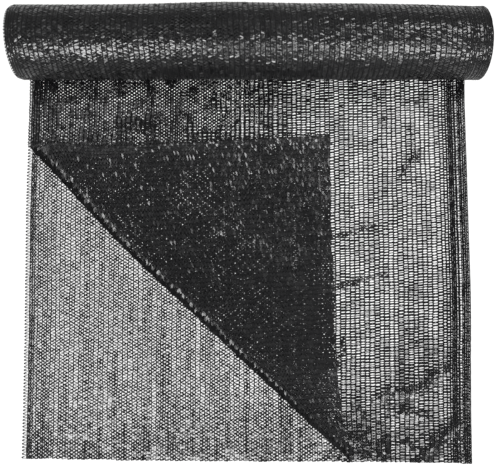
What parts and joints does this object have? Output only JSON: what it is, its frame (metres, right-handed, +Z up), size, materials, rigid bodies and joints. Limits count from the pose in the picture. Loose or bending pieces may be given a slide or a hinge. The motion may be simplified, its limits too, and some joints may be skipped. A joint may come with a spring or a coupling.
{
  "type": "shade cloth",
  "caption": "Black knitted shade cloth folded double and wound into a roll, its loose end laid flat with a corner turned back over itself.",
  "frame": {"origin": "middle of the footprint, on the surface that the cloth lies on", "axes": "+X along the roll, towards the side fold; +Y from the front edge of the loose end towards the roll; +Z up"},
  "size_m": [0.6237, 0.6061, 0.1022],
  "materials": {
    "black_knit": "glossy knitted polyethylene tape"
  },
  "bodies": {
    "root": {"roll": "black_knit", "loose_end": "black_knit"}
  },
  "joints": []
}
